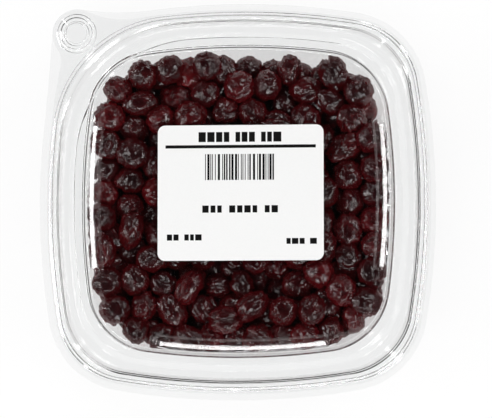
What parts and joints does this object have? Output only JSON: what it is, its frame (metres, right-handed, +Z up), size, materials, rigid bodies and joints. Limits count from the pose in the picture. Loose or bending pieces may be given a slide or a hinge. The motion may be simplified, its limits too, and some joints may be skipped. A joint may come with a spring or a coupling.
{
  "type": "clear plastic tub of dried cranberries",
  "caption": "Shallow square clear tub with rounded corners, a separate press-fit clear lid with a corner pull tab, filled with dried berries and labelled on top.",
  "frame": {"origin": "middle of the flange in plan, on the surface that the tub's foot stands on", "axes": "+Z up; the tear tab is at the corner between -X and +Y; the label reads with +X to its right"},
  "size_m": [0.1436, 0.1436, 0.04],
  "materials": {
    "clear_plastic": "clear thermoformed sheet, colourless and glossy",
    "label_paper": "white satin label paper with plain black print",
    "dried_fruit": "wrinkled, sticky, dark red fruit skin with small glints"
  },
  "bodies": {
    "root": {"tub": "clear_plastic", "lid": "clear_plastic", "label": "label_paper", "berries": "dried_fruit"}
  },
  "joints": []
}
